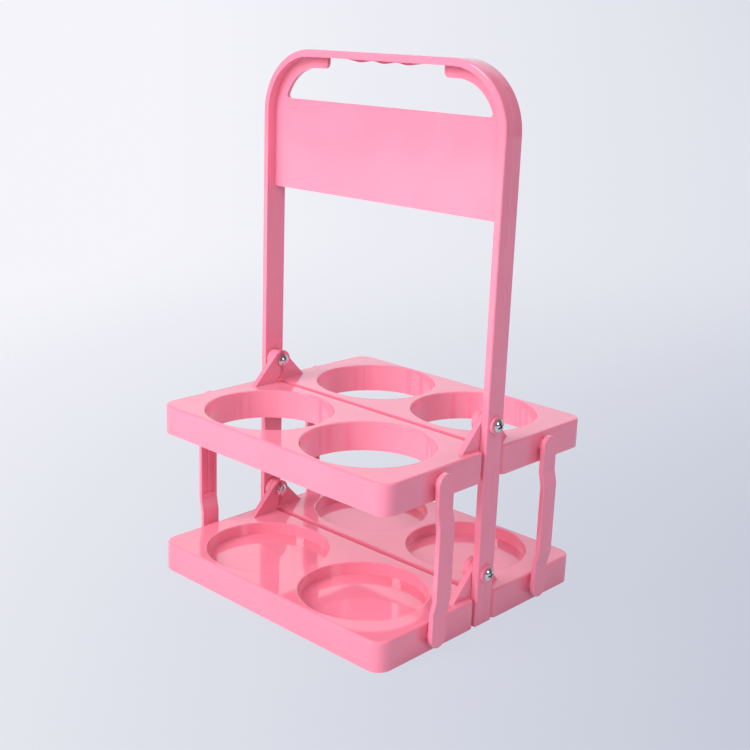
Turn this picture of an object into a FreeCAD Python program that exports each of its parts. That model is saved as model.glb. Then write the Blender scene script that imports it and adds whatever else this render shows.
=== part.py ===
"""Foldable two-storey drink carrier: a bail-shaped handle frame with four tray halves hinged on it.

Frame: X runs along the handle, Y from the front (-Y) to the rear (+Y), Z up. The origin is the middle of
the footprint on the table. Every expression below is in millimetres and degrees.
"""
import FreeCAD, Part
import math
import os
import re
import Sketcher

SIZES = {
    # Cup holes, and the lands of plastic round them, set the outline of a tray half
    "cup_radius": 41.4,
    "middle_land": 5.2,
    "side_land": 14.6,
    "front_land": 3.4,
    "parting_land": 8.6,
    # Tray half moulding, open below
    "tray_height": 19.2,
    "tray_wall": 2.5,
    "tray_plate": 2.5,
    "tray_corner": 9.5,
    "top_round": 1.5,
    "cup_round": 1.0,
    "tube_wall": 2.0,
    "rib_thickness": 1.8,
    "rib_rise": 1.0,
    "rib_spread": 44.0,
    "parting_gap": 0.2,
    "parting_round": 3.0,
    "foot_round": 3.0,
    # Cup seats of the lower storey
    "seat_radius": 40.6,
    "seat_depth": 8.0,
    "seat_floor": 2.5,
    "seat_draft": 4.0,
    "seat_round": 0.9,
    # Handle frame
    "handle_height": 339.5,
    "leg_thickness": 4.5,
    "leg_depth": 15.8,
    "bend_radius": 41.0,
    "strip_round": 1.3,
    "web_thickness": 2.5,
    "web_drop": 89.5,
    "sill_drop": 31.5,
    "sill_round": 2.2,
    "lintel_drop": 11.5,
    "grip_margin": 15.3,
    "shoulder_run": 26.7,
    "tab_end": 47.9,
    "tab_round": 3.6,
    "ridge_pitch": 19.6,
    "ridge_drop": 1.7,
    "valley_drop": 0.5,
    "ridge_lead": 8.6,
    # Leg notch in each tray half
    "notch_gap": 1.3,
    "notch_round": 3.5,
    # Hinge ears, screws and cap nuts
    "pivot_rise": 14.7,
    "fold_clearance": 1.2,
    "ear_thickness": 3.9,
    "ear_gap": 0.3,
    "ear_radius": 7.1,
    "ear_reach": 24.3,
    "ear_back": 4.5,
    "ear_waist": 2.3,
    "ear_waist_drop": 10.9,
    "ear_waist_bend": 11.0,
    "ear_shoulder": 55.0,
    "screw_radius": 2.0,
    "running_clearance": 0.05,
    "boss_radius": 5.8,
    "boss_height": 1.8,
    "head_radius": 4.2,
    "head_height": 2.7,
    "head_edge": 1.2,
    "recess_reach": 2.3,
    "recess_width": 1.0,
    "recess_depth": 1.5,
    "nut_radius": 4.3,
    "nut_height": 3.3,
    "nut_edge": 1.3,
    "nut_cap": 0.9,
    # Links at the tray sides
    "link_inset": 50.0,
    "link_rise": 10.6,
    "link_width": 13.4,
    "link_thickness": 3.0,
    "link_standoff": 3.4,
    "link_joggle": 2.0,
    "joggle_start": 16.0,
    "joggle_end": 25.0,
    "link_round": 0.8,
    "channel_width": 4.0,
    "channel_depth": 1.0,
    "channel_rib": 1.4,
    "channel_inset": 29.0,
    "stud_radius": 2.5,
    "stud_boss": 4.2,
    "stud_gap": 0.2,
    "stud_clearance": 0.1,
    "snap_radius": 3.1,
    "snap_length": 1.8,
    "snap_slot": 1.0,
    # How far a feature reaches into the solid that it joins
    "seam_overlap": 1.0,
}

HALF_WIDTH = "(middle_land / 2 + 2 * cup_radius + side_land)"
HALF_DEPTH = "(parting_land + 2 * cup_radius + front_land)"
CUP_ACROSS = "(middle_land / 2 + cup_radius)"
CUP_BACK = "(parting_land + cup_radius)"
STOREY_PITCH = f"({HALF_DEPTH} + fold_clearance)"
LOWER_PIVOT = "(tray_height + pivot_rise)"
UPPER_PIVOT = f"({LOWER_PIVOT} + {STOREY_PITCH})"
LEG_INNER = f"({HALF_WIDTH} - leg_thickness)"
EAR_FACE = f"({LEG_INNER} - ear_gap)"
NOTCH_BACK = "(leg_depth / 2 + notch_gap)"
PAD_FACE = f"({HALF_WIDTH} + link_standoff)"

LEFT_TURN = 1
RIGHT_TURN = -1

extrusions = []
document = FreeCAD.newDocument("drink_carrier")
sheet = document.addObject("Spreadsheet::Sheet", "sizes")
for row, (alias, value) in enumerate(SIZES.items(), start=1):
    sheet.set(f"A{row}", alias)
    sheet.set(f"B{row}", str(value))
    sheet.setAlias(f"B{row}", alias)
document.recompute()


def bound(expression):
    """Point each alias, the only words with an underscore, at the sheet."""
    return re.sub(r"[a-z]+(?:_[a-z]+)+", r"sizes.\g<0>", expression)


def number(expression):
    """Value of an expression as the sheet stands."""
    return float(sheet.evalExpression(bound(expression)))


def new_body(name):
    """Body of one moulded or turned piece; its label names its file."""
    body = document.addObject("PartDesign::Body", name)
    body.Label = name
    return body


def new_sketch(body, role, name, offset="0"):
    """Sketch on one of the body's own planes, moved along the plane's normal."""
    sketch = body.newObject("Sketcher::SketchObject", name)
    plane = [item for item in body.Origin.OriginFeatures if item.Role == role][0]
    sketch.AttachmentSupport = (plane, [""])
    sketch.MapMode = "FlatFace"
    sketch.setExpression("AttachmentOffset.Base.z", bound(offset))
    return sketch


def pin_down(sketch, geometry, point, across, up):
    """Hold one point of the sketch at two expressions."""
    for kind, expression in (("DistanceX", across), ("DistanceY", up)):
        place = Sketcher.Constraint(kind, -1, 1, geometry, point, number(expression))
        sketch.setExpression(f"Constraints[{sketch.addConstraint(place)}]", bound(expression))


def set_radius(sketch, geometry, expression):
    """Hold the radius of a circle or an arc."""
    size = Sketcher.Constraint("Radius", geometry, number(expression))
    sketch.setExpression(f"Constraints[{sketch.addConstraint(size)}]", bound(expression))


def circle(sketch, across, up, radius):
    """Circle about a given centre."""
    centre = FreeCAD.Vector(number(across), number(up), 0)
    upright = FreeCAD.Vector(0, 0, 1)
    geometry = sketch.addGeometry(Part.Circle(centre, upright, number(radius)), False)
    pin_down(sketch, geometry, 3, across, up)
    set_radius(sketch, geometry, radius)


def arc_between(start, end, radius, turn):
    """Arc shorter than half a turn from start to end, bending to the left or to the right."""
    chord = end - start
    height = math.sqrt(max(radius ** 2 - chord.Length ** 2 / 4, 0))
    leftward = FreeCAD.Vector(-chord.y, chord.x, 0).normalize()
    centre = (start + end) / 2 + leftward * height * turn
    first, last = (start, end) if turn == LEFT_TURN else (end, start)
    angles = [math.atan2(point.y - centre.y, point.x - centre.x) for point in (first, last)]
    return Part.ArcOfCircle(Part.Circle(centre, FreeCAD.Vector(0, 0, 1), radius), *angles)


def outline(sketch, corners):
    """Closed outline through corners of (across, up) or, where an arc follows, (across, up, radius, turn)."""
    places = [FreeCAD.Vector(number(corner[0]), number(corner[1]), 0) for corner in corners]
    starts = []
    ends = []
    for corner, start, end in zip(corners, places, places[1:] + places[:1]):
        if len(corner) == 2:
            geometry = sketch.addGeometry(Part.LineSegment(start, end), False)
            turn = LEFT_TURN
        else:
            turn = corner[3]
            geometry = sketch.addGeometry(arc_between(start, end, number(corner[2]), turn), False)
        starts.append((geometry, 1 if turn == LEFT_TURN else 2))
        ends.append((geometry, 2 if turn == LEFT_TURN else 1))
    for end, start in zip(ends, starts[1:] + starts[:1]):
        sketch.addConstraint(Sketcher.Constraint("Coincident", *end, *start))
    for corner, (geometry, point) in zip(corners, starts):
        pin_down(sketch, geometry, point, corner[0], corner[1])
        if len(corner) > 2:
            set_radius(sketch, geometry, corner[2])


def rectangle(sketch, left, bottom, right, top):
    """Closed rectangle between four expressions."""
    outline(sketch, [(left, bottom), (right, bottom), (right, top), (left, top)])


def extrude(body, kind, sketch, name, length, midplane=False, reverse=False, draft=None):
    """Pad or pocket of a sketch, kept in the list whose volumes are compared at the end."""
    extrusions.append((kind, body.Tip, name))
    feature = body.newObject(f"PartDesign::{kind}", name)
    feature.Profile = sketch
    feature.setExpression("Length", bound(length))
    if midplane:
        feature.SideType = "Symmetric"
    feature.Reversed = reverse
    if draft:
        feature.setExpression("TaperAngle", bound(draft))
    body.Tip = feature


def round_off(body, name, radius, chosen):
    """Fillet on the edges of the body that the test picks."""
    document.recompute()
    base = body.Tip
    names = [f"Edge{index}" for index, edge in enumerate(base.Shape.Edges, start=1) if chosen(edge)]
    if not names:
        raise RuntimeError(f"{name} finds no edge")
    fillet = body.newObject("PartDesign::Fillet", name)
    fillet.Base = (base, names)
    fillet.setExpression("Radius", bound(radius))
    body.Tip = fillet


def near(value, expression):
    """Whether a coordinate lies at an expression."""
    return abs(value - number(expression)) < 1e-4


def middle(edge):
    """Point half-way along an edge."""
    first, last = edge.ParameterRange
    return edge.valueAt((first + last) / 2)


def level(edge, height):
    """Whether an edge lies whole at one height."""
    return near(edge.BoundBox.ZMin, height) and near(edge.BoundBox.ZMax, height)


def placed_copy(name, moulding, back="0", up="0", half_turn=False):
    """One piece off a mould: the moulding's shape, moved and turned half round the upright axis."""
    piece = new_body(name)
    piece.BaseFeature = moulding
    turn = FreeCAD.Rotation(FreeCAD.Vector(0, 0, 1), 180 if half_turn else 0)
    piece.Placement = FreeCAD.Placement(FreeCAD.Vector(0, 0, 0), turn)
    for axis, expression in (("y", back), ("z", up)):
        piece.setExpression(f"Placement.Base.{axis}", bound(expression))
    return piece


# Handle frame


def handle_frame():
    """One moulding: a strip bent into an arch, a thin web across its top, and a boss at each pivot."""
    body = new_body("handle_frame")
    strip(body)
    web(body)
    finger_ridges(body)
    for side in (-1, 1):
        for storey, height in (("lower", LOWER_PIVOT), ("upper", UPPER_PIVOT)):
            pivot_boss(body, side, storey, height)
    return body


def strip(body):
    """Two straight legs and the grip between them, with the edges of the outer face rounded."""
    bend = f"({HALF_WIDTH} - bend_radius)"
    spring = "(handle_height - bend_radius)"
    under = "(handle_height - leg_thickness)"
    inside = "bend_radius - leg_thickness"
    sketch = new_sketch(body, "XZ_Plane", "strip_outline")
    outline(sketch, [
        (f"-{HALF_WIDTH}", "0"),
        (f"-{LEG_INNER}", "0"),
        (f"-{LEG_INNER}", spring, inside, RIGHT_TURN),
        (f"-{bend}", under),
        (bend, under, inside, RIGHT_TURN),
        (LEG_INNER, spring),
        (LEG_INNER, "0"),
        (HALF_WIDTH, "0"),
        (HALF_WIDTH, spring, "bend_radius", LEFT_TURN),
        (bend, "handle_height"),
        (f"-{bend}", "handle_height", "bend_radius", LEFT_TURN),
        (f"-{HALF_WIDTH}", spring),
    ])
    extrude(body, "Pad", sketch, "strip_pad", "leg_depth", midplane=True)
    half_width = number(HALF_WIDTH)
    top = number("handle_height")

    def outer(edge):
        point = middle(edge)
        corner = number("bend_radius") * (1 - math.sqrt(0.5)) + 1e-3
        on_side = abs(point.x) > half_width - 1e-3 or point.z > top - 1e-3
        on_bend = abs(point.x) > half_width - corner and point.z > top - corner
        along = near(abs(edge.BoundBox.YMin), "leg_depth / 2") and edge.BoundBox.YLength < 1e-3
        return along and (on_side or on_bend) and point.z > 1e-3

    round_off(body, "strip_edges", "strip_round", outer)


def web(body):
    """Thin web across the top of the arch, with the opening that the hand goes through."""
    bend = f"({HALF_WIDTH} - bend_radius)"
    spring = "(handle_height - bend_radius)"
    edge = f"({LEG_INNER} + seam_overlap)"
    top = "(handle_height - leg_thickness + seam_overlap)"
    round_in = "bend_radius - leg_thickness + seam_overlap"
    foot = "(handle_height - web_drop)"
    sketch = new_sketch(body, "XZ_Plane", "web_outline")
    outline(sketch, [
        (f"-{edge}", foot),
        (edge, foot),
        (edge, spring, round_in, LEFT_TURN),
        (bend, top),
        (f"-{bend}", top, round_in, LEFT_TURN),
        (f"-{edge}", spring),
    ])
    extrude(body, "Pad", sketch, "web_pad", "web_thickness", midplane=True)
    grip_opening(body)


def grip_opening(body):
    """Hand opening: a flat sill, arched shoulders, and a short tab either side of the open middle."""
    side = f"({HALF_WIDTH} - grip_margin)"
    sill = "(handle_height - sill_drop)"
    lintel = "(handle_height - lintel_drop)"
    rim = "(handle_height - leg_thickness)"
    corner = f"({sill} + sill_round)"
    rise = "(sill_drop - lintel_drop - sill_round)"
    shoulder = f"((shoulder_run^2 + {rise}^2) / (2 * {rise}))"
    crown = f"({side} - shoulder_run)"
    sketch = new_sketch(body, "XZ_Plane", "grip_outline")
    outline(sketch, [
        (f"-({side} - sill_round)", sill),
        (f"{side} - sill_round", sill, "sill_round", LEFT_TURN),
        (side, corner, shoulder, LEFT_TURN),
        (crown, lintel),
        ("tab_end + tab_round", lintel, "tab_round", RIGHT_TURN),
        ("tab_end", f"{lintel} + tab_round"),
        ("tab_end", rim),
        ("-tab_end", rim),
        ("-tab_end", f"{lintel} + tab_round", "tab_round", RIGHT_TURN),
        ("-(tab_end + tab_round)", lintel),
        (f"-{crown}", lintel, shoulder, LEFT_TURN),
        (f"-{side}", corner, "sill_round", LEFT_TURN),
    ])
    extrude(body, "Pocket", sketch, "grip_pocket", "leg_depth", midplane=True)


def finger_ridges(body):
    """Three low waves under the middle of the grip, drawn as equal arcs that meet half-way up each wave."""
    rim = "(handle_height - leg_thickness)"
    half_wave = "((ridge_drop - valley_drop) / 2)"
    midway = f"({rim} - valley_drop - {half_wave})"
    bend = f"(((ridge_pitch / 4)^2 + {half_wave}^2) / (2 * {half_wave}))"
    end = "(ridge_pitch * 5 / 4)"
    above = f"{rim} + seam_overlap"
    corners = [(f"-({end} + ridge_lead)", above), (f"-({end} + ridge_lead)", rim)]
    for quarter in range(-5, 5, 2):
        ridge = (quarter + 1) % 4 == 0
        corners.append((f"ridge_pitch * {quarter} / 4", midway, bend, LEFT_TURN if ridge else RIGHT_TURN))
    corners.append((end, midway))
    corners += [(f"{end} + ridge_lead", rim), (f"{end} + ridge_lead", above)]
    sketch = new_sketch(body, "XZ_Plane", "ridge_outline")
    outline(sketch, corners)
    extrude(body, "Pad", sketch, "ridge_pad", "web_thickness", midplane=True)


def pivot_boss(body, side, storey, height):
    """Round boss on the outer face of a leg, and the screw's hole through both."""
    name = f"{storey}_{'right' if side > 0 else 'left'}"
    face = f"{side} * ({HALF_WIDTH} - seam_overlap)"
    disc = new_sketch(body, "YZ_Plane", f"boss_outline_{name}", face)
    circle(disc, "0", height, "boss_radius")
    extrude(body, "Pad", disc, f"boss_pad_{name}", "boss_height + seam_overlap", reverse=side < 0)
    hole = new_sketch(body, "YZ_Plane", f"hole_outline_{name}", f"{side} * ({HALF_WIDTH} + boss_height)")
    circle(hole, "0", height, "screw_radius + running_clearance")
    depth = "boss_height + leg_thickness + seam_overlap"
    extrude(body, "Pocket", hole, f"hole_pocket_{name}", depth, reverse=side < 0)


# Tray halves


def tray_half(name, seats):
    """Moulding of a tray half, drawn as a front one: a shell open below with two cup places and two ears."""
    body = new_body(name)
    shell(body, name)
    ribs(body, name)
    if seats:
        cup_seats(body, name)
    else:
        cup_tubes(body, name)
    for side in (-1, 1):
        hinge_ear(body, name, side)
        stud_boss(body, name, side)
    return body


def shell(body, name):
    """Outer form with its notches for the legs, then the hollow below."""
    notch_x = EAR_FACE
    notch_y = NOTCH_BACK
    straight = f"({HALF_WIDTH} - tray_corner)"
    turn = f"({HALF_DEPTH} - tray_corner)"
    sketch = new_sketch(body, "XY_Plane", f"shell_outline_{name}")
    outline(sketch, [
        (f"-{notch_x}", "-parting_gap"),
        (f"-{notch_x}", f"-{notch_y}"),
        (f"-({HALF_WIDTH} - notch_round)", f"-{notch_y}", "notch_round", LEFT_TURN),
        (f"-{HALF_WIDTH}", f"-({notch_y} + notch_round)"),
        (f"-{HALF_WIDTH}", f"-{turn}", "tray_corner", LEFT_TURN),
        (f"-{straight}", f"-{HALF_DEPTH}"),
        (straight, f"-{HALF_DEPTH}", "tray_corner", LEFT_TURN),
        (HALF_WIDTH, f"-{turn}"),
        (HALF_WIDTH, f"-({notch_y} + notch_round)", "notch_round", LEFT_TURN),
        (f"{HALF_WIDTH} - notch_round", f"-{notch_y}"),
        (notch_x, f"-{notch_y}"),
        (notch_x, "-parting_gap"),
    ])
    extrude(body, "Pad", sketch, f"shell_pad_{name}", "tray_height")
    round_off(body, f"parting_edge_{name}", "parting_round",
              lambda edge: level(edge, "tray_height") and near(middle(edge).y, "-parting_gap"))
    round_off(body, f"fold_relief_{name}", "foot_round",
              lambda edge: level(edge, "0") and near(middle(edge).y, "-parting_gap"))
    round_off(body, f"top_edge_{name}", "top_round",
              lambda edge: level(edge, "tray_height") and near(middle(edge).y, f"-{HALF_DEPTH}"))
    hollow = new_sketch(body, "XY_Plane", f"hollow_outline_{name}")
    inside_x = f"({HALF_WIDTH} - tray_wall)"
    inside_notch = f"({notch_x} - tray_wall)"
    notch_wall = f"-({notch_y} + tray_wall)"
    outline(hollow, [
        (f"-{inside_notch}", "-(parting_gap + tray_wall)"),
        (f"-{inside_notch}", notch_wall),
        (f"-{inside_x}", notch_wall),
        (f"-{inside_x}", f"-{turn}", "tray_corner - tray_wall", LEFT_TURN),
        (f"-{straight}", f"-({HALF_DEPTH} - tray_wall)"),
        (straight, f"-({HALF_DEPTH} - tray_wall)", "tray_corner - tray_wall", LEFT_TURN),
        (inside_x, f"-{turn}"),
        (inside_x, notch_wall),
        (inside_notch, notch_wall),
        (inside_notch, "-(parting_gap + tray_wall)"),
    ])
    extrude(body, "Pocket", hollow, f"hollow_pocket_{name}", "tray_height - tray_plate", reverse=True)


def ribs(body, name):
    """Stiffening ribs under the plate: two across the half, and three from its front to its parting wall."""
    height = "tray_height - tray_plate - rib_rise + seam_overlap"
    end_x = f"({HALF_WIDTH} - tray_wall + seam_overlap)"
    end_y = f"({HALF_DEPTH} - tray_wall + seam_overlap)"
    for index, step in enumerate((-1, 1)):
        line = f"(-{CUP_BACK} + {step} * rib_spread / 2)"
        cross = new_sketch(body, "XY_Plane", f"cross_rib_{name}_{index}", "rib_rise")
        rectangle(cross, f"-{end_x}", f"{line} - rib_thickness / 2", end_x, f"{line} + rib_thickness / 2")
        extrude(body, "Pad", cross, f"cross_rib_pad_{name}_{index}", height)
    for index, step in enumerate((-1, 0, 1)):
        line = f"({step} * {CUP_ACROSS})"
        along = new_sketch(body, "XY_Plane", f"long_rib_{name}_{index}", "rib_rise")
        rectangle(along, f"{line} - rib_thickness / 2", f"-{end_y}",
                  f"{line} + rib_thickness / 2", "-(parting_gap + tray_wall - seam_overlap)")
        extrude(body, "Pad", along, f"long_rib_pad_{name}_{index}", height)


def cup_tubes(body, name):
    """Round openings that pass right through, each lined by its own tube."""
    for side in (-1, 1):
        word = "right" if side > 0 else "left"
        across = f"{side} * {CUP_ACROSS}"
        tube = new_sketch(body, "XY_Plane", f"tube_outline_{name}_{word}")
        circle(tube, across, f"-{CUP_BACK}", "cup_radius + tube_wall")
        circle(tube, across, f"-{CUP_BACK}", "cup_radius")
        extrude(body, "Pad", tube, f"tube_pad_{name}_{word}", "tray_height - tray_plate + seam_overlap")
    for side in (-1, 1):
        word = "right" if side > 0 else "left"
        hole = new_sketch(body, "XY_Plane", f"cup_outline_{name}_{word}")
        circle(hole, f"{side} * {CUP_ACROSS}", f"-{CUP_BACK}", "cup_radius")
        extrude(body, "Pocket", hole, f"cup_pocket_{name}_{word}", "tray_height", reverse=True)
    round_off(body, f"cup_rim_{name}", "cup_round", lambda edge: rim_edge(edge, "cup_radius"))


def cup_seats(body, name):
    """Shallow round seats with a flat floor and a slightly drafted wall."""
    foot = "(tray_height - seat_depth - seat_floor)"
    for side in (-1, 1):
        word = "right" if side > 0 else "left"
        pan = new_sketch(body, "XY_Plane", f"pan_outline_{name}_{word}", foot)
        circle(pan, f"{side} * {CUP_ACROSS}", f"-{CUP_BACK}", "seat_radius + tube_wall")
        extrude(body, "Pad", pan, f"pan_pad_{name}_{word}", f"tray_height - tray_plate - {foot} + seam_overlap")
    for side in (-1, 1):
        word = "right" if side > 0 else "left"
        seat = new_sketch(body, "XY_Plane", f"seat_outline_{name}_{word}", "tray_height")
        circle(seat, f"{side} * {CUP_ACROSS}", f"-{CUP_BACK}", "seat_radius")
        extrude(body, "Pocket", seat, f"seat_pocket_{name}_{word}", "seat_depth", draft="-seat_draft")
    round_off(body, f"seat_rim_{name}", "seat_round", lambda edge: rim_edge(edge, "seat_radius"))


def rim_edge(edge, radius):
    """Whether an edge is the round rim of a cup place at the top of the tray."""
    round_curve = isinstance(edge.Curve, Part.Circle)
    return round_curve and near(edge.Curve.Radius, radius) and level(edge, "tray_height")


def hinge_ear(body, name, side):
    """Upright ear on a tray half. The left ear stands inboard and the right one next to the leg, so that
    the two halves of a storey, which are the same moulding turned half round, share each screw."""
    word = "right" if side > 0 else "left"
    outer_face = EAR_FACE if side > 0 else f"({EAR_FACE} - ear_thickness - ear_gap)"
    pivot = LOWER_PIVOT
    base = "(tray_height - seam_overlap)"
    span = "(ear_reach^2 + pivot_rise^2)"
    tangent = f"sqrt({span} - ear_radius^2)"
    slope_y = f"(-ear_reach * ear_radius^2 - pivot_rise * ear_radius * {tangent}) / {span}"
    slope_z = f"{pivot} + (-pivot_rise * ear_radius^2 + ear_reach * ear_radius * {tangent}) / {span}"
    sketch = new_sketch(body, "YZ_Plane", f"ear_outline_{name}_{word}", f"{side} * {outer_face}")
    outline(sketch, [
        ("-ear_reach", base),
        ("-ear_back", base),
        ("-ear_back", "tray_height", "ear_waist_bend", RIGHT_TURN),
        ("-ear_waist", f"{pivot} - ear_waist_drop"),
        ("ear_radius * cos(ear_shoulder)", f"{pivot} - ear_radius * sin(ear_shoulder)", "ear_radius", LEFT_TURN),
        ("0", f"{pivot} + ear_radius", "ear_radius", LEFT_TURN),
        (slope_y, slope_z),
        ("-ear_reach", "tray_height"),
    ])
    extrude(body, "Pad", sketch, f"ear_pad_{name}_{word}", "ear_thickness", reverse=side > 0)
    hole = new_sketch(body, "YZ_Plane", f"ear_hole_{name}_{word}", f"{side} * ({outer_face})")
    circle(hole, "0", pivot, "screw_radius + running_clearance")
    extrude(body, "Pocket", hole, f"ear_hole_pocket_{name}_{word}", "ear_thickness", reverse=side < 0)


def stud_boss(body, name, side):
    """Collar on the side wall that keeps the link off the tray, and the hole for the link's stud."""
    word = "right" if side > 0 else "left"
    collar = new_sketch(body, "YZ_Plane", f"collar_outline_{name}_{word}",
                        f"{side} * ({HALF_WIDTH} - seam_overlap)")
    circle(collar, "-link_inset", "link_rise", "stud_boss")
    extrude(body, "Pad", collar, f"collar_pad_{name}_{word}", "link_standoff - stud_gap + seam_overlap",
            reverse=side < 0)
    hole = new_sketch(body, "YZ_Plane", f"stud_hole_{name}_{word}", f"{side} * {PAD_FACE}")
    circle(hole, "-link_inset", "link_rise", "stud_radius + stud_clearance")
    extrude(body, "Pocket", hole, f"stud_hole_pocket_{name}_{word}",
            "link_standoff + tray_wall + seam_overlap", reverse=side < 0)


# Links


def side_link(name):
    """Moulding of a side link, drawn as a right one with its top stud's axis through the origin."""
    body = new_body(name)
    half = "link_width / 2"
    face = PAD_FACE
    outer = f"({face} + link_thickness)"
    top = f"({half})"
    foot = f"(-{STOREY_PITCH} - {half})"
    profile = new_sketch(body, "XZ_Plane", f"joggle_outline_{name}")
    outline(profile, [
        (face, top),
        (face, "-joggle_start"),
        (f"{face} + link_joggle", "-joggle_end"),
        (f"{face} + link_joggle", f"-({STOREY_PITCH} - joggle_end)"),
        (face, f"-({STOREY_PITCH} - joggle_start)"),
        (face, foot),
        (outer, foot),
        (outer, f"-({STOREY_PITCH} - joggle_start)"),
        (f"{outer} + link_joggle", f"-({STOREY_PITCH} - joggle_end)"),
        (f"{outer} + link_joggle", "-joggle_end"),
        (outer, "-joggle_start"),
        (outer, top),
    ])
    extrude(body, "Pad", profile, f"joggle_pad_{name}", "link_width", midplane=True)
    plan = new_sketch(body, "YZ_Plane", f"end_outline_{name}", face)
    margin = f"({half} + seam_overlap)"
    rectangle(plan, f"-{margin}", f"-({STOREY_PITCH} + {margin})", margin, margin)
    outline(plan, [
        (f"-{half}", f"-{STOREY_PITCH}", half, LEFT_TURN),
        ("0", f"-({STOREY_PITCH} + {half})", half, LEFT_TURN),
        (half, f"-{STOREY_PITCH}"),
        (half, "0", half, LEFT_TURN),
        ("0", half, half, LEFT_TURN),
        (f"-{half}", "0"),
    ])
    extrude(body, "Pocket", plan, f"end_pocket_{name}", "2 * (link_thickness + link_joggle)", midplane=True)
    round_off(body, f"link_edges_{name}", "link_round", link_outer_edge)
    for index, step in enumerate((-1, 1)):
        line = f"({step} * (channel_rib + channel_width) / 2)"
        channel = new_sketch(body, "YZ_Plane", f"channel_outline_{name}_{index}", f"{face} + link_joggle")
        rectangle(channel, f"{line} - channel_width / 2", f"-({STOREY_PITCH} - channel_inset)",
                  f"{line} + channel_width / 2", "-channel_inset")
        extrude(body, "Pocket", channel, f"channel_pocket_{name}_{index}", "channel_depth", reverse=True)
    for word, height in (("top", "0"), ("foot", f"-{STOREY_PITCH}")):
        stud(body, name, word, height)
    return body


def link_outer_edge(edge):
    """Whether an edge runs round the outer face of a link."""
    point = middle(edge)
    face = number(f"{PAD_FACE} + link_thickness")
    outward = point.x > face - 1e-3
    foot = number(f"-({STOREY_PITCH} + link_width / 2)")
    run = edge.BoundBox.YLength < 1e-3 and not near(point.y, "0") or isinstance(edge.Curve, Part.Circle)
    return outward and run and point.z > foot - 1e-3


def stud(body, name, word, height):
    """Stud with a snap head behind the tray's side wall, split so that it can close on the way in."""
    shank = new_sketch(body, "YZ_Plane", f"{word}_stud_outline_{name}", f"{PAD_FACE} + seam_overlap")
    circle(shank, "0", height, "stud_radius")
    reach = "link_standoff + tray_wall + stud_gap"
    extrude(body, "Pad", shank, f"{word}_stud_pad_{name}", f"{reach} + snap_length + seam_overlap", reverse=True)
    head = new_sketch(body, "YZ_Plane", f"{word}_snap_outline_{name}", f"{PAD_FACE} - ({reach})")
    circle(head, "0", height, "snap_radius")
    extrude(body, "Pad", head, f"{word}_snap_pad_{name}", "snap_length", reverse=True)
    slot = new_sketch(body, "YZ_Plane", f"{word}_slot_outline_{name}", f"{PAD_FACE} - ({reach} + snap_length)")
    rectangle(slot, "-snap_slot / 2", f"{height} - snap_radius - seam_overlap",
              "snap_slot / 2", f"{height} + snap_radius + seam_overlap")
    extrude(body, "Pocket", slot, f"{word}_slot_pocket_{name}", "snap_length + tray_wall", reverse=True)


# Screws and cap nuts


def pivot_screw(name):
    """Pan-head screw with a cross recess, drawn as a right one with its axis along X."""
    body = new_body(name)
    seat = f"({HALF_WIDTH} + boss_height)"
    tip = f"({EAR_FACE} - 2 * ear_thickness - 2 * ear_gap - nut_height + nut_cap + stud_gap)"
    dome = "(head_height - head_edge)"
    bend = f"((head_radius^2 + {dome}^2) / (2 * {dome}))"
    sketch = new_sketch(body, "XZ_Plane", f"screw_outline_{name}")
    outline(sketch, [
        (tip, "0"),
        (f"{seat} + head_height", "0", bend, RIGHT_TURN),
        (f"{seat} + head_edge", "head_radius"),
        (seat, "head_radius"),
        (seat, "screw_radius"),
        (tip, "screw_radius"),
    ])
    turn_about_x(body, sketch, f"screw_turn_{name}")
    recess = new_sketch(body, "YZ_Plane", f"recess_outline_{name}", f"{seat} + head_height")
    half = "recess_width / 2"
    reach = "recess_reach"
    outline(recess, [
        (reach, f"-{half}"), (reach, half), (half, half), (half, reach),
        (f"-{half}", reach), (f"-{half}", half), (f"-{reach}", half), (f"-{reach}", f"-{half}"),
        (f"-{half}", f"-{half}"), (f"-{half}", f"-{reach}"), (half, f"-{reach}"), (half, f"-{half}"),
    ])
    extrude(body, "Pocket", recess, f"recess_pocket_{name}", "recess_depth")
    return body


def cap_nut(name):
    """Low domed nut on the inboard end of a screw, drawn as a right one."""
    body = new_body(name)
    face = f"({EAR_FACE} - 2 * ear_thickness - 2 * ear_gap)"
    dome = "(nut_height - nut_edge)"
    bend = f"((nut_radius^2 + {dome}^2) / (2 * {dome}))"
    bore = "(screw_radius + running_clearance)"
    sketch = new_sketch(body, "XZ_Plane", f"nut_outline_{name}")
    outline(sketch, [
        (f"{face} - nut_height + nut_cap", "0"),
        (f"{face} - nut_height + nut_cap", bore),
        (face, bore),
        (face, "nut_radius"),
        (f"{face} - nut_edge", "nut_radius", bend, LEFT_TURN),
        (f"{face} - nut_height", "0"),
    ])
    turn_about_x(body, sketch, f"nut_turn_{name}")
    return body


def turn_about_x(body, sketch, name):
    """Full turn of a profile about the X axis."""
    feature = body.newObject("PartDesign::Revolution", name)
    feature.Profile = sketch
    feature.ReferenceAxis = (sketch, ["H_Axis"])
    feature.Angle = 360
    body.Tip = feature


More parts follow.
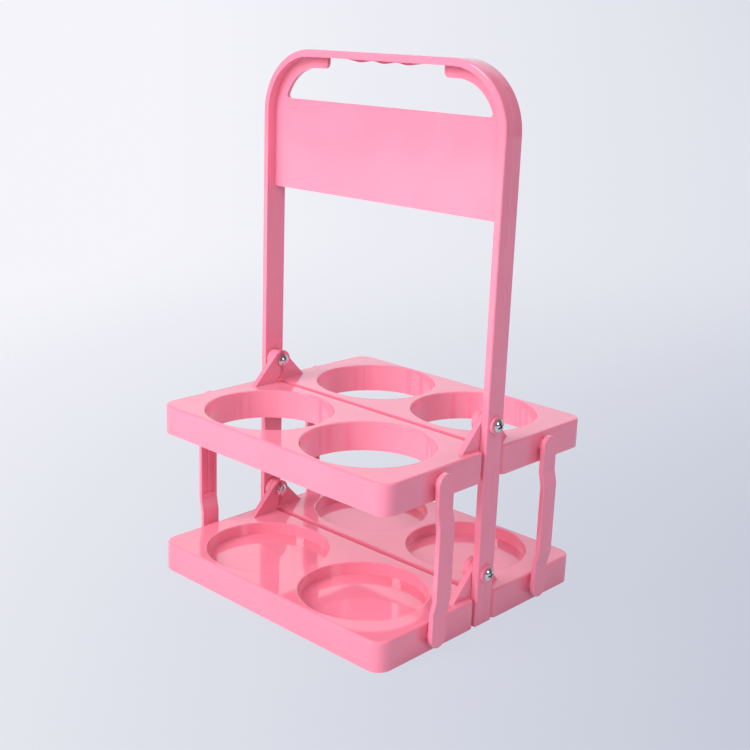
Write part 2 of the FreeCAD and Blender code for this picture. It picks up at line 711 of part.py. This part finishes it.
pieces = [handle_frame()]
for storey_word, storey_foot, seated in (("upper", STOREY_PITCH, False), ("lower", "0", True)):
    half = tray_half(f"{storey_word}_moulding", seated)
    for face_word, turned in (("front", False), ("rear", True)):
        pieces.append(placed_copy(f"{storey_word}_{face_word}_tray", half, up=storey_foot, half_turn=turned))
link = side_link("link_moulding")
for face_word, inset in (("front", "-link_inset"), ("rear", "link_inset")):
    for side_word, turned in (("left", True), ("right", False)):
        pieces.append(placed_copy(f"link_{face_word}_{side_word}", link, inset,
                                  f"link_rise + {STOREY_PITCH}", turned))
screw = pivot_screw("screw_blank")
nut = cap_nut("nut_blank")
for storey_word, pivot_height in (("upper", UPPER_PIVOT), ("lower", LOWER_PIVOT)):
    for side_word, turned in (("left", True), ("right", False)):
        place_name = f"{storey_word}_{side_word}"
        pieces.append(placed_copy(f"pivot_screw_{place_name}", screw, up=pivot_height, half_turn=turned))
        pieces.append(placed_copy(f"pivot_nut_{place_name}", nut, up=pivot_height, half_turn=turned))
document.recompute()

faults = []
for item in document.Objects:
    if {"Invalid", "Error"} & set(item.State):
        faults.append(f"{item.Label}: {item.State}")
for kind, base, name in extrusions:
    change = document.getObject(name).Shape.Volume - (base.Shape.Volume if base else 0)
    if (kind == "Pad") != (change > 0):
        faults.append(f"{name} points the wrong way: the volume changed by {change:.2f}")
for piece in pieces:
    if piece.Shape.isNull() or not piece.Shape.isValid():
        faults.append(f"{piece.Label}: no valid shape")
    elif len(piece.Shape.Solids) != 1:
        faults.append(f"{piece.Label}: {len(piece.Shape.Solids)} solids instead of one")
if faults:
    raise RuntimeError("; ".join(faults))

os.makedirs("parts", exist_ok=True)
for piece in pieces:
    piece.Shape.exportStep(f"parts/{piece.Label}.step")
    box = piece.Shape.BoundBox
    print(f"{piece.Label}: {piece.Shape.Volume / 1000:.2f} cm3, x {box.XMin:.1f} to {box.XMax:.1f}, "
          f"y {box.YMin:.1f} to {box.YMax:.1f}, z {box.ZMin:.1f} to {box.ZMax:.1f}")
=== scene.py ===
"""Looks of the folding drink carrier: pink mouldings, plated screws, pale floor, soft light."""
from __future__ import annotations

import logging
import math
from dataclasses import dataclass
from enum import Enum

import bpy
import numpy as np
from mathutils import Matrix, Vector

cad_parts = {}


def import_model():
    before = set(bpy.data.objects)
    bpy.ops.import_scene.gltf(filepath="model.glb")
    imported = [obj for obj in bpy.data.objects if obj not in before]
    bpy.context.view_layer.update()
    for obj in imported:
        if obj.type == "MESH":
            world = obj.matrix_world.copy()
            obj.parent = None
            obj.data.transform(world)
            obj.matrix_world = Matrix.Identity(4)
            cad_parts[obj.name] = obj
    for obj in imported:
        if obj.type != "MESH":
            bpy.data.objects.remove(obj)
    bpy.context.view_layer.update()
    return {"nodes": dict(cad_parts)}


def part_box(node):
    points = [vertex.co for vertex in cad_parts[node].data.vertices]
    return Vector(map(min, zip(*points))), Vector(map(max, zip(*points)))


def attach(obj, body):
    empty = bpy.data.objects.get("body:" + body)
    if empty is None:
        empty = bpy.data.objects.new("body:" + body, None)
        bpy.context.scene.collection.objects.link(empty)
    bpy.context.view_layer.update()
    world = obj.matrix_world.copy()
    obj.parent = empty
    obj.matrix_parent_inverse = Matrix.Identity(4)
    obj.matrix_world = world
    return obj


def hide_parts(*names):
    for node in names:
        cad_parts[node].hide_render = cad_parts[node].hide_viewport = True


LOG = logging.getLogger("drink_carrier")
MILLIMETRE = 0.001
PHOTO_WIDTH = 750

# Display values: the brightest, and the transfer curve, straight up to its knee and a power above
DISPLAY_WHITE = 255
CURVE_KNEE, CURVE_SLOPE, CURVE_OFFSET, CURVE_POWER = 0.04045, 12.92, 0.055, 2.4
# Numbers of the colour sockets of a Mix node
MIX_AMOUNT, MIX_LOW, MIX_HIGH, MIX_RESULT = 0, 6, 7, 2
# Numbers of the sockets of a Mix Shader node
SHADER_SHARE, SHADER_FIRST, SHADER_SECOND = 0, 1, 2
# Middle of the values that noise has
NOISE_MIDDLE = 0.5

Colour = tuple[float, float, float]
Triple = tuple[float, float, float]
Range = tuple[float, float]

UP: Triple = (0.0, 0.0, 1.0)
WARM_WHITE: Colour = (1.0, 0.985, 0.965)
# Heights of the two storeys' pivots, in millimetres
UPPER_PIVOT, LOWER_PIVOT = 129.9, 33.9


def linear(red: int, green: int, blue: int) -> Colour:
    """Scene-linear colour of a display colour.

    Args:
        red: Display red from 0 to 255.
        green: Display green from 0 to 255.
        blue: Display blue from 0 to 255.

    Returns:
        The scene-linear colour.
    """
    steps = (value / DISPLAY_WHITE for value in (red, green, blue))
    return tuple(step / CURVE_SLOPE if step <= CURVE_KNEE
                 else ((step + CURVE_OFFSET) / (1 + CURVE_OFFSET)) ** CURVE_POWER
                 for step in steps)


class Blend(Enum):
    """How a colour mix joins its two colours."""

    MIX = "MIX"
    MULTIPLY = "MULTIPLY"


class Ray(Enum):
    """Kinds of rays that a shader can tell apart."""

    CAMERA = "Is Camera Ray"
    GLOSSY = "Is Glossy Ray"


class Output(Enum):
    """Where a shader tree ends."""

    MATERIAL = "ShaderNodeOutputMaterial"
    WORLD = "ShaderNodeOutputWorld"


@dataclass(frozen=True)
class Pattern:
    """Noise of a finish: cycles to the metre, octaves and the weight of the fine octaves."""

    scale: float
    detail: float
    roughness: float = 0.5


class Socket:
    """A shader socket that takes part in arithmetic by adding Math nodes."""

    def __init__(self, tree: ShaderTree, source: bpy.types.NodeSocket) -> None:
        """Wrap a socket.

        Args:
            tree: The shader tree that the socket is in.
            source: The output socket.
        """
        self.tree = tree
        self.source = source

    def _math(self, operation: str, *values: Socket | float) -> Socket:
        """Add a Math node.

        Args:
            operation: The node's operation.
            values: Its inputs, in order.

        Returns:
            Its output.
        """
        return self.tree.add("ShaderNodeMath", {"operation": operation}, dict(enumerate(values)))

    def __add__(self, other: Socket | float) -> Socket:
        """Sum."""
        return self._math("ADD", self, other)

    __radd__ = __add__

    def __sub__(self, other: Socket | float) -> Socket:
        """Difference."""
        return self._math("SUBTRACT", self, other)

    def __rsub__(self, other: Socket | float) -> Socket:
        """Reflected difference."""
        return self._math("SUBTRACT", other, self)

    def __mul__(self, other: Socket | float) -> Socket:
        """Product."""
        return self._math("MULTIPLY", self, other)

    __rmul__ = __mul__

    def __truediv__(self, other: Socket | float) -> Socket:
        """Quotient."""
        return self._math("DIVIDE", self, other)

    def at_least(self, low: Socket | float) -> Socket:
        """The value, or the limit where it is lower."""
        return self._math("MAXIMUM", self, low)

    def at_most(self, high: Socket | float) -> Socket:
        """The value, or the limit where it is higher."""
        return self._math("MINIMUM", self, high)

    def size(self) -> Socket:
        """Absolute value."""
        return self._math("ABSOLUTE", self)

    def part(self, axis: str) -> Socket:
        """One part of a vector: X, Y or Z."""
        return self.tree.add("ShaderNodeSeparateXYZ", {}, {"Vector": self}, axis)

    def ramp(self, low: float, high: float) -> Socket:
        """Rise smoothly from 0 at low to 1 at high.

        Args:
            low: Value that gives 0.
            high: Value that gives 1.

        Returns:
            The result, clamped to 0 and 1.
        """
        inputs = {"Value": self, "From Min": low, "From Max": high}
        return self.tree.add("ShaderNodeMapRange", {"interpolation_type": "SMOOTHSTEP"}, inputs)


class ShaderTree:
    """Builds the nodes of one material, or of the world."""

    def __init__(self, owner: bpy.types.Material | bpy.types.World) -> None:
        """Start with no nodes.

        Args:
            owner: The material or the world.
        """
        self.owner = owner
        self.owner.use_nodes = True
        self.nodes = self.owner.node_tree.nodes
        self.links = self.owner.node_tree.links
        self.nodes.clear()

    def node(self, kind: str, settings: dict[str, object],
             inputs: dict[str | int, object]) -> bpy.types.Node:
        """Add a node, with its settings first and its inputs after.

        Args:
            kind: The node's type.
            settings: Its attributes.
            inputs: Socket names or numbers, each with a value or a Socket.

        Returns:
            The node.
        """
        node = self.nodes.new(kind)
        for name, value in settings.items():
            setattr(node, name, value)
        for key, value in inputs.items():
            if isinstance(value, Socket):
                self.links.new(value.source, node.inputs[key])
            else:
                node.inputs[key].default_value = value
        return node

    def add(self, kind: str, settings: dict[str, object], inputs: dict[str | int, object],
            output: int | str = 0) -> Socket:
        """Add a node and wrap one of its outputs.

        Args:
            kind: The node's type.
            settings: Its attributes.
            inputs: Its inputs, as in node.
            output: The name or the number of the output.

        Returns:
            The output.
        """
        return Socket(self, self.node(kind, settings, inputs).outputs[output])

    def position(self) -> Socket:
        """Object coordinates, in metres."""
        return self.add("ShaderNodeTexCoord", {}, {}, "Object")

    def noise(self, place: Socket, pattern: Pattern) -> Socket:
        """Noise between 0 and 1.

        Args:
            place: Coordinates.
            pattern: The noise's pattern.

        Returns:
            The noise.
        """
        inputs = {"Vector": place, "Scale": pattern.scale, "Detail": pattern.detail,
                  "Roughness": pattern.roughness}
        return self.add("ShaderNodeTexNoise", {}, inputs, "Fac")

    def mix(self, amount: Socket | float, low: Colour | Socket, high: Colour | Socket,
            blend: Blend = Blend.MIX) -> Socket:
        """Mix two colours.

        Args:
            amount: Share of the second colour.
            low: First colour.
            high: Second colour.
            blend: How they join.

        Returns:
            The mixed colour.
        """
        settings = {"data_type": "RGBA", "blend_type": blend.value}
        first, second = (value if isinstance(value, Socket) else (*value, 1.0)
                         for value in (low, high))
        inputs = {MIX_AMOUNT: amount, MIX_LOW: first, MIX_HIGH: second}
        return self.add("ShaderNodeMix", settings, inputs, MIX_RESULT)

    def bump(self, height: Socket, distance: float) -> Socket:
        """Normal that a height gives.

        Args:
            height: Height from 0 to 1.
            distance: Metres that a height of 1 stands for.

        Returns:
            The normal.
        """
        inputs = {"Height": height, "Distance": distance, "Strength": 1.0}
        return self.add("ShaderNodeBump", {}, inputs, "Normal")

    def ray(self, kind: Ray) -> Socket:
        """One for rays of a kind, and nought for all others."""
        return self.add("ShaderNodeLightPath", {}, {}, kind.value)

    def surface(self, inputs: dict[str | int, object]) -> Socket:
        """Shader of a principled surface with the inputs given."""
        return self.add("ShaderNodeBsdfPrincipled", {}, inputs)

    def background(self, colour: Colour, strength: Socket | float) -> Socket:
        """Shader of the world round the scene, in one colour and with the strength given."""
        return self.add("ShaderNodeBackground", {}, {"Color": (*colour, 1.0), "Strength": strength})

    def blend(self, share: Socket, first: Socket, second: Socket) -> Socket:
        """Mix two shaders.

        Args:
            share: Share of the second shader.
            first: First shader.
            second: Second shader.

        Returns:
            The mixed shader.
        """
        inputs = {SHADER_SHARE: share, SHADER_FIRST: first, SHADER_SECOND: second}
        return self.add("ShaderNodeMixShader", {}, inputs)

    def close(self, shader: Socket,
              output: Output = Output.MATERIAL) -> bpy.types.Material | bpy.types.World:
        """Close the tree with its last shader.

        Args:
            shader: The shader.
            output: Where the tree ends.

        Returns:
            The material or the world.
        """
        self.node(output.value, {}, {"Surface": shader})
        return self.owner


@dataclass(frozen=True)
class PinkPlastic:
    """Glossy moulded pink plastic, with the faint unevenness that a moulding has.

    Heights, widths and reaches are in millimetres. The seam is the parting line of the mould, and
    the crease shade is painted shade: darker colour painted where the two halves of a storey meet.
    """

    name: str = "pink_plastic"
    colour: Colour = linear(248, 140, 166)
    cloud: Colour = linear(247, 137, 163)
    clouds: Pattern = Pattern(28.0, 2.0)
    cloud_range: Range = (0.35, 0.65)
    roughness: float = 0.03
    smear: float = 0.02
    smears: Pattern = Pattern(90.0, 4.0, 0.6)
    ripple: float = 0.003
    ripples: Pattern = Pattern(40.0, 1.0)
    grain: float = 0.0012
    grains: Pattern = Pattern(2600.0, 2.0)
    refraction: float = 1.5
    coat: float = 0.75
    coat_roughness: float = 0.05
    seam: float = 0.0
    seam_width: float = 0.5
    seam_slope: float = 0.045
    # Painted shade in the crease where the two halves meet: the colour darkens towards Y = 0.
    joint: float = 0.0
    crease_shade_start: float = 0.2
    crease_shade_reach: float = 3.2
    crease_shade_colour: Colour = linear(214, 84, 112)

    def material(self) -> bpy.types.Material:
        """Build the material.

        Returns:
            The material.
        """
        tree = ShaderTree(bpy.data.materials.new(self.name))
        place = tree.position()
        smears = tree.noise(place, self.smears)
        height = (tree.noise(place, self.ripples) * self.ripple
                  + tree.noise(place, self.grains) * self.grain)
        if self.seam:
            height = height + self.seam_height(place)
        clouds = tree.noise(place, self.clouds).ramp(*self.cloud_range)
        colour = tree.mix(clouds, self.colour, self.cloud)
        # Paint shade into the crease where the two halves meet.
        if self.joint:
            colour = tree.mix(self.crease_shade_share(place), colour, self.crease_shade_colour)
        return tree.close(tree.surface({
            "Base Color": colour,
            "Roughness": self.roughness + (smears - NOISE_MIDDLE) * self.smear,
            "Normal": tree.bump(height, MILLIMETRE),
            "IOR": self.refraction,
            "Coat Weight": self.coat,
            "Coat Roughness": self.coat_roughness,
        }))

    def seam_height(self, place: Socket) -> Socket:
        """Height of the parting line, with the draft that falls away on either side of it.

        Args:
            place: Coordinates; the parting line runs along Y = 0.

        Returns:
            The height in millimetres.
        """
        away = place.part("Y").size() / MILLIMETRE
        line = 1.0 - away.ramp(0.0, self.seam_width)
        return line * self.seam - away * self.seam_slope

    def crease_shade_share(self, place: Socket) -> Socket:
        """Share of the painted shade, which fades away from the crease at Y = 0.

        Args:
            place: Coordinates.

        Returns:
            The share.
        """
        away = place.part("Y").size() / MILLIMETRE
        return (1.0 - away.ramp(self.crease_shade_start, self.crease_shade_reach)) * self.joint


@dataclass(frozen=True)
class PlatedSteel:
    """Bright plating on the screws and nuts, finely brushed by its machining; a darker copy is
    painted shade in the recesses.
    """

    name: str = "plated_steel"
    colour: Colour = linear(244, 244, 245)
    stain: Colour = linear(228, 228, 229)
    roughness: float = 0.06
    stains: Pattern = Pattern(700.0, 3.0)
    stain_range: Range = (0.3, 0.7)
    stain_roughness: float = 0.05
    grain: float = 0.003
    grains: Pattern = Pattern(5200.0, 3.0)

    def material(self) -> bpy.types.Material:
        """Build the material.

        Returns:
            The material.
        """
        tree = ShaderTree(bpy.data.materials.new(self.name))
        place = tree.position()
        stains = tree.noise(place, self.stains)
        grain = tree.noise(place, self.grains)
        return tree.close(tree.surface({
            "Base Color": tree.mix(stains.ramp(*self.stain_range), self.colour, self.stain),
            "Metallic": 1.0,
            "Roughness": self.roughness + (stains - NOISE_MIDDLE) * self.stain_roughness,
            "Normal": tree.bump(grain, self.grain * MILLIMETRE),
        }))


def cover(node: bpy.types.Object, material: bpy.types.Material) -> None:
    """Put a material in every slot of a piece.

    Args:
        node: The piece.
        material: Its material.
    """
    for slot in node.material_slots:
        slot.material = material
    LOG.info("%s: %s", node.name, material.name)


@dataclass(frozen=True)
class PivotScrew:
    """Pan-head screw along X, with a domed head that stands on a boss and a cross recess in it.

    Sizes are in millimetres and angles in degrees.
    """

    storey: str
    side: str
    height: float
    turn: float
    seat: float = 101.8
    shank_radius: float = 2.0
    head_radius: float = 4.2
    edge_height: float = 1.0
    head_height: float = 2.7
    recess_reach: float = 2.5
    recess_width: float = 1.05
    recess_depth: float = 1.5
    recess_wall: float = 0.2
    recess_rise: float = 0.4
    shade_depth: float = 0.3
    sharp_angle: float = 35.0
    spokes: int = 144
    rings: int = 42

    def profile(self) -> tuple[np.ndarray, np.ndarray]:
        """Distance along the screw and radius, from the tip to the top of the dome.

        The dome is part of a sphere: the distance falls by the sphere's radius less the root of
        its square less the radius squared.

        Returns:
            Distances and radii.
        """
        tip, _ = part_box(f"pivot_screw_{self.storey}_right")
        inner = tip.x / MILLIMETRE
        dome = self.head_height - self.edge_height
        sphere = (self.head_radius ** 2 + dome ** 2) / (2 * dome)
        radius = np.linspace(self.head_radius, 0.0, self.rings)
        fall = sphere - np.sqrt(sphere ** 2 - radius ** 2)
        along = self.seat + self.head_height - fall
        shank_along = [inner, inner, self.seat, self.seat]
        shank_radius = [0.0, self.shank_radius, self.shank_radius, self.head_radius]
        return np.concatenate((shank_along, along)), np.concatenate((shank_radius, radius))

    def recess(self, across: np.ndarray, up: np.ndarray) -> np.ndarray:
        """Depth of the cross recess: two crossed slots with sloping walls, deepest in the middle.

        A slot's side walls have the middle of their slope on its edges, and its end walls have
        their foot inside its ends.

        Args:
            across: Places along Y from the axis.
            up: Places along Z from the axis.

        Returns:
            Depths.
        """
        turn = math.radians(self.turn)
        along = np.abs(across * math.cos(turn) + up * math.sin(turn))
        beside = np.abs(up * math.cos(turn) - across * math.sin(turn))
        walls = [np.clip((self.recess_reach - run) / self.recess_wall, 0, 1)
                 * np.clip((self.recess_width / 2 - off) / self.recess_wall + 0.5, 0, 1)
                 for run, off in ((along, beside), (beside, along))]
        slope = 1 - self.recess_rise * np.hypot(across, up) / self.recess_reach
        return self.recess_depth * slope * np.maximum(*walls)

    def surface(self) -> tuple[np.ndarray, np.ndarray]:
        """Turn the profile about the axis and sink the recess into the dome.

        Returns:
            Points in metres, from the pole at the tip to the pole at the top, and the depth of
            the recess at each.
        """
        along, radius = self.profile()
        angle = np.linspace(0, 2 * np.pi, self.spokes, endpoint=False)
        across = np.outer(radius, np.cos(angle))
        up = np.outer(radius, np.sin(angle))
        in_dome = (np.arange(len(along)) >= len(along) - self.rings)[:, None]
        depth = self.recess(across, up) * in_dome
        out = 1.0 if self.side == "right" else -1.0
        grid = np.stack(((along[:, None] - depth) * out, across, up + self.height), axis=-1)
        points = np.concatenate((grid[:1, 0], grid[1:-1].reshape(-1, 3), grid[-1:, 0]))
        depths = np.concatenate((depth[:1, 0], depth[1:-1].ravel(), depth[-1:, 0]))
        return points * MILLIMETRE, depths

    def faces(self, count: int) -> list[list[int]]:
        """Quads between the rings and triangles round both poles, all facing outwards.

        Args:
            count: Number of points.

        Returns:
            Point numbers of each face.
        """
        ring = np.arange(self.spokes)
        after = np.roll(ring, -1)
        last = count - 1
        top = last - self.spokes
        rows = np.arange(1, top, self.spokes)[:, None]
        above = rows + self.spokes
        quads = np.stack((rows + ring, rows + after, above + after, above + ring), axis=-1)
        faces = quads.reshape(-1, 4).tolist()
        pairs = list(zip(ring.tolist(), after.tolist()))
        faces += [[0, 1 + far, 1 + near] for near, far in pairs]
        faces += [[last, top + near, top + far] for near, far in pairs]
        return faces if self.side == "right" else [face[::-1] for face in faces]

    def build(self, plating: bpy.types.Material, shade: bpy.types.Material) -> None:
        """Add the screw, which stands for the frame's own.

        Args:
            plating: Material of the outside.
            shade: Darker steel on the recess's faces, which is painted shade.
        """
        points, depths = self.surface()
        faces = self.faces(len(points))
        # Faces deep in the recess get the darker steel: painted shade.
        painted_shade_faces = depths > self.shade_depth
        name = f"cross_screw_{self.storey}_{self.side}"
        mesh = bpy.data.meshes.new(name)
        mesh.from_pydata(points.tolist(), [], faces)
        mesh.materials.append(plating)
        mesh.materials.append(shade)
        mesh.polygons.foreach_set("material_index", [int(painted_shade_faces[face].all()) for face in faces])
        mesh.shade_smooth()
        mesh.set_sharp_from_angle(angle=math.radians(self.sharp_angle))
        screw = bpy.data.objects.new(name, mesh)
        bpy.context.scene.collection.objects.link(screw)
        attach(screw, "carrier_frame")
        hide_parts(f"pivot_screw_{self.storey}_{self.side}")
        LOG.info("%s: %d faces", name, len(faces))


@dataclass(frozen=True)
class Carrier:
    """The frame's mouldings and fasteners, and the screws that stand for the frame's."""

    nodes: dict[str, bpy.types.Object]
    plastic: PinkPlastic = PinkPlastic()
    frame_plastic: PinkPlastic = PinkPlastic("frame_plastic", seam=0.12)
    # The trays get painted shade in the crease between their halves.
    tray_plastic: PinkPlastic = PinkPlastic("tray_plastic", joint=0.85)
    steel: PlatedSteel = PlatedSteel()
    # Darker, duller steel painted into the cross recesses as their shade.
    painted_recess_shade: PlatedSteel = PlatedSteel(
        "painted_recess_shade", linear(96, 96, 104), linear(70, 70, 78), 0.3)
    screws: tuple[PivotScrew, ...] = (
        PivotScrew("upper", "left", UPPER_PIVOT, turn=12.0),
        PivotScrew("upper", "right", UPPER_PIVOT, turn=28.0),
        PivotScrew("lower", "left", LOWER_PIVOT, turn=64.0),
        PivotScrew("lower", "right", LOWER_PIVOT, turn=8.0),
    )

    def dress(self) -> None:
        """Give each node the finish that its name's first word stands for, and add the screws."""
        finishes = {
            "handle": self.frame_plastic.material(),
            "upper": self.tray_plastic.material(),
            "link": self.plastic.material(),
            "pivot": self.steel.material(),
        }
        finishes["lower"] = finishes["upper"]
        for name, node in self.nodes.items():
            cover(node, finishes[name.split("_")[0]])
        # Painted shade for the cross recesses.
        shade = self.painted_recess_shade.material()
        for screw in self.screws:
            screw.build(finishes["pivot"], shade)


@dataclass(frozen=True)
class Softbox:
    """One soft square lamp: its place, target and size are in metres, and its power in watts.

    A lamp that isn't mirrored lights the carrier without showing in its gloss.
    """

    name: str
    place: Triple
    size: float
    power: float
    colour: Colour = (1.0, 1.0, 1.0)
    mirrored: bool = True
    target: Triple = (0.0, 0.0, 0.1)

    def hang(self) -> None:
        """Add the lamp to the scene."""
        light = bpy.data.lights.new(self.name, "AREA")
        light.size = self.size
        light.energy = self.power
        light.color = self.colour
        lamp = bpy.data.objects.new(self.name, light)
        lamp.location = self.place
        lamp.visible_glossy = self.mirrored
        aim = Vector(self.target) - Vector(self.place)
        lamp.rotation_euler = aim.to_track_quat("-Z", "Y").to_euler()
        bpy.context.scene.collection.objects.link(lamp)
        LOG.info("%s: %.1f W", self.name, self.power)


@dataclass(frozen=True)
class Sweep:
    """Pale backdrop whose floor curves up into a wall behind the carrier, as the camera sees it.

    Lengths are in metres. Its tone is painted light falloff, a share of its light colour: it grows
    with the distance behind the carrier and falls towards the right.
    """

    yaw: float
    width: float = 9.0
    front: float = -4.0
    bend_start: float = 1.0
    bend: float = 1.3
    wall: float = 2.6
    steps: int = 24
    light: Colour = (0.93, 0.93, 0.975)
    dark: Colour = (0.57, 0.60, 0.70)
    middle_tone: float = 0.31
    rise: float = 0.5
    rise_range: Range = (-0.25, 1.3)
    lean: float = 1.17
    lean_distance: float = 1.0
    least_distance: float = 0.4
    albedo: float = 0.8
    roughness: float = 0.6
    specular: float = 0.2
    shown: float = 0.93
    mirrored: float = 0.15
    mirrored_rise: float = 1.3

    def profile(self) -> np.ndarray:
        """Side view: a straight floor, a quarter circle and an upright wall.

        Returns:
            Rows of distance behind the carrier and height.
        """
        turn = np.linspace(0.0, np.pi / 2, self.steps)
        curve = np.column_stack((self.bend_start + self.bend * np.sin(turn),
                                 self.bend * (1 - np.cos(turn))))
        return np.vstack(([self.front, 0.0], curve, [curve[-1][0], self.wall]))

    def build(self) -> None:
        """Make the mesh: the profile drawn out to the left and to the right of the view."""
        yaw = math.radians(self.yaw)
        back = np.array((-math.sin(yaw), math.cos(yaw), 0.0))
        right = np.array((math.cos(yaw), math.sin(yaw), 0.0))
        profile = self.profile()
        line = profile[:, :1] * back + profile[:, 1:] * np.array(UP)
        points = np.vstack((line - right * self.width / 2, line + right * self.width / 2))
        count = len(line)
        faces = [(i, i + count, i + count + 1, i + 1) for i in range(count - 1)]
        mesh = bpy.data.meshes.new("sweep")
        mesh.from_pydata(points.tolist(), [], faces)
        mesh.shade_smooth()
        mesh.materials.append(self.material())
        sweep = bpy.data.objects.new("sweep", mesh)
        bpy.context.scene.collection.objects.link(sweep)
        LOG.info("sweep: %d faces", len(faces))

    def material(self) -> bpy.types.Material:
        """Pale paper with painted light: it darkens to the right and towards the viewer.

        The camera sees most of its own colour, so that the carrier's shadow on it stays as faint
        as in a room with light all round.

        Returns:
            The material.
        """
        tree = ShaderTree(bpy.data.materials.new("pale_sweep"))
        place = tree.position()
        yaw = math.radians(self.yaw)
        across = place.part("X") * math.cos(yaw) + place.part("Y") * math.sin(yaw)
        behind = place.part("Y") * math.cos(yaw) - place.part("X") * math.sin(yaw)
        rise = behind.ramp(*self.rise_range) * self.rise
        lean = across / (behind + self.lean_distance).at_least(self.least_distance) * self.lean
        # Painted light: the paper's colour darkens to the right and towards the viewer, as light
        # falls off.
        painted_falloff = (rise - lean + self.middle_tone).at_least(0.0).at_most(1.0)
        paper_with_painted_falloff = tree.mix(painted_falloff, self.dark, self.light)
        lit = tree.surface({
            "Base Color": tree.mix(1.0, paper_with_painted_falloff, (self.albedo,) * 3, Blend.MULTIPLY),
            "Roughness": self.roughness,
            "Specular IOR Level": self.specular,
        })
        plain = tree.add("ShaderNodeEmission", {}, {"Color": paper_with_painted_falloff})
        mirrored = self.mirrored + rise * self.mirrored_rise
        share = tree.ray(Ray.CAMERA) * self.shown + tree.ray(Ray.GLOSSY) * mirrored
        return tree.close(tree.blend(share, lit, plain))


@dataclass(frozen=True)
class Studio:
    """Backdrop, light and camera of the photograph.

    The camera's place is in millimetres, its angles are in degrees, its focal length is in pixels
    of the photograph, and its sensor's width is in millimetres.
    """

    camera_place: Triple = (517.69, -557.78, 356.44)
    yaw: float = 42.811
    pitch: float = 15.971
    roll: float = 2.099
    focal_pixels: float = 1227.53
    sensor: float = 36.0
    near_clip: float = 10.0
    room: Colour = (0.80, 0.83, 0.9)
    room_seen: Colour = (0.88, 0.885, 0.93)
    room_strength: float = 0.36
    room_mirrored: float = 0.5
    lamps: tuple[Softbox, ...] = (
        Softbox("key", (-0.45, -2.08, 1.5), 1.9, 59.0, WARM_WHITE, mirrored=False),
        Softbox("spark", (-0.75, -2.0, 1.5), 0.7, 13.0, WARM_WHITE),
        Softbox("side", (1.7, -1.3, 1.3), 0.9, 12.0, mirrored=False),
        Softbox("glint", (2.1, 0.1, 0.95), 0.8, 3.8),
        Softbox("rear", (0.1, 1.78, 0.8), 1.0, 14.0, mirrored=False),
    )

    def camera(self) -> None:
        """Aim the camera by its yaw from +Y, its downward pitch and its roll."""
        yaw, pitch, roll = (math.radians(angle) for angle in (self.yaw, self.pitch, self.roll))
        forward = Vector((-math.sin(yaw) * math.cos(pitch), math.cos(yaw) * math.cos(pitch),
                          -math.sin(pitch)))
        level_right = forward.cross(Vector(UP)).normalized()
        level_up = level_right.cross(forward)
        right = level_right * math.cos(roll) + level_up * math.sin(roll)
        up = level_up * math.cos(roll) - level_right * math.sin(roll)
        lens = bpy.data.cameras.new("photo_camera")
        lens.sensor_width = self.sensor
        lens.lens = self.sensor * self.focal_pixels / PHOTO_WIDTH
        lens.clip_start = self.near_clip * MILLIMETRE
        camera = bpy.data.objects.new("photo_camera", lens)
        place = Matrix.Translation(Vector(self.camera_place) * MILLIMETRE)
        camera.matrix_world = place @ Matrix((right, up, -forward)).transposed().to_4x4()
        bpy.context.scene.collection.objects.link(camera)
        bpy.context.scene.camera = camera

    def world(self) -> None:
        """Fill the room with even light, dimmer in mirrors and pale as a backdrop to the camera."""
        tree = ShaderTree(bpy.data.worlds.new("room"))
        dimmed = tree.ray(Ray.GLOSSY) * (1.0 - self.room_mirrored)
        fill = tree.background(self.room, self.room_strength * (1.0 - dimmed))
        seen = tree.background(self.room_seen, 1.0)
        mixed = tree.blend(tree.ray(Ray.CAMERA), fill, seen)
        bpy.context.scene.world = tree.close(mixed, Output.WORLD)

    def build(self) -> None:
        """Set up the whole studio."""
        self.camera()
        Sweep(self.yaw).build()
        self.world()
        for lamp in self.lamps:
            lamp.hang()
        bpy.context.scene.view_settings.view_transform = "Standard"


def main() -> None:
    """Load the frame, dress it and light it."""
    logging.basicConfig(level=logging.INFO, format="%(message)s")
    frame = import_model()
    Studio().build()
    Carrier(frame["nodes"]).dress()


if __name__ == "__main__":
    main()
